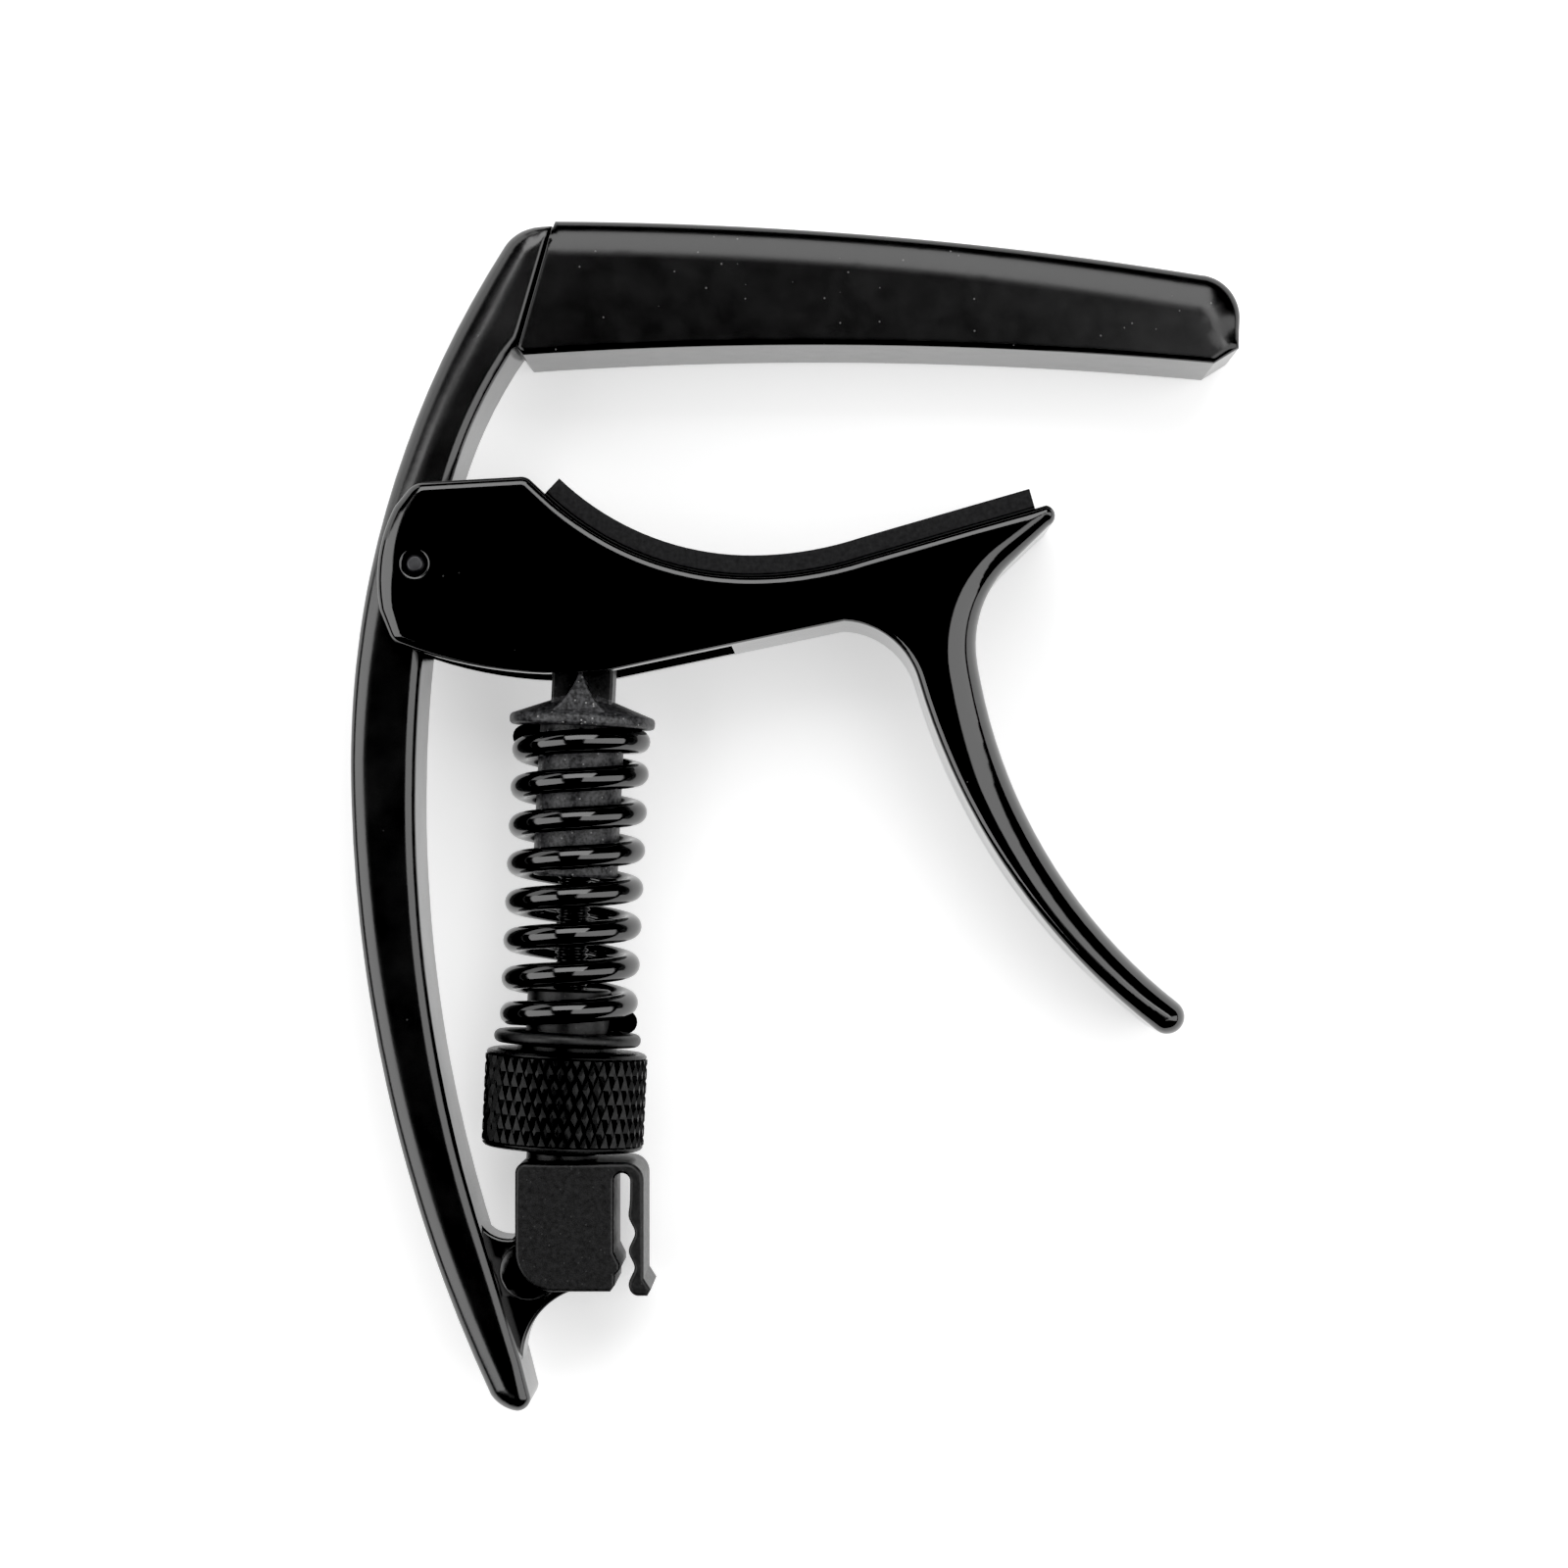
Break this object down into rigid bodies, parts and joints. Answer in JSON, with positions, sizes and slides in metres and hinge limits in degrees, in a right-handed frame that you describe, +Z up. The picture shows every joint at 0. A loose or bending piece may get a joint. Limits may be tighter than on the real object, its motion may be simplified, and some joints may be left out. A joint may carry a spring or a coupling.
{
  "type": "guitar capo",
  "caption": "One-hand trigger guitar capo with a rubber-sleeved string bar, padded lever, spring with a knurled adjusting wheel, and a pick holder.",
  "frame": {"origin": "on the table, under the middle of the whole capo, which lies flat on its side", "axes": "+X along the string bar from the back arm to its free end, +Y from the trigger's end up to the string bar, +Z up from the table, along the pivot pins"},
  "size_m": [0.0754, 0.101, 0.015],
  "materials": {
    "gloss_black_casting": "cast aluminium with a gloss black coating",
    "black_rubber": "matte silicone rubber",
    "charcoal_pad": "matte soft rubber",
    "black_plastic": "moulded, fine spark texture",
    "knurled_metal": "black anodised, diamond knurl",
    "spring_steel": "steel wire with a gloss black coating",
    "black_steel": "black oxide steel",
    "pin_steel": "ground steel",
    "nylon": "natural nylon",
    "adhesive_film": "acrylic adhesive film"
  },
  "bodies": {
    "frame": {"frame": "gloss_black_casting", "string_sleeve": "black_rubber", "main_pivot_pin": "pin_steel", "pivot_washer_front": "nylon", "pivot_washer_back": "nylon"},
    "lever": {"lever": "gloss_black_casting", "neck_pad": "charcoal_pad", "pad_adhesive": "adhesive_film"},
    "link": {"pick_holder": "black_plastic", "adjusting_screw": "black_steel", "compression_spring": "spring_steel", "lower_pivot_pin": "pin_steel"},
    "guide": {"spring_guide": "black_plastic", "knuckle_pin": "pin_steel"},
    "seat": {"spring_seat": "black_plastic"},
    "thumbwheel": {"thumbwheel": "knurled_metal"}
  },
  "joints": [
    {"name": "lever_pivot", "type": "hinge", "parent": "frame", "child": "lever", "pos_m": [-0.03175, 0.0215, 0.0075], "axis": [0, 0, -1], "range_deg": [0, 20], "stiffness_Nm_per_rad": 3.5, "springref_deg": -3.95},
    {"name": "lower_pivot", "type": "hinge", "parent": "frame", "child": "link", "pos_m": [-0.0203, -0.0365, 0.0075], "axis": [0, 0, 1], "range_deg": [0, 2.6]},
    {"name": "guide_slide", "type": "slide", "parent": "link", "child": "guide", "axis": [-0.0471, -0.9989, 0], "range_m": [0, 0.0047], "deforming": ["compression_spring"]},
    {"name": "preload_slide", "type": "slide", "parent": "link", "child": "seat", "axis": [0.0471, 0.9989, 0], "range_m": [0, 0.0025]},
    {"name": "thumbwheel_spin", "type": "hinge", "parent": "seat", "child": "thumbwheel", "pos_m": [-0.0203, -0.0365, 0.0075], "axis": [0.0471, 0.9989, 0], "range_deg": [0, 1805]}
  ],
  "couplings": [
    {"joint": "lower_pivot", "follows": "lever_pivot", "ratio": 0.1251},
    {"joint": "guide_slide", "follows": "lever_pivot", "m_per_rad": 0.01323},
    {"joint": "thumbwheel_spin", "follows": "preload_slide", "rad_per_m": 12566}
  ]
}
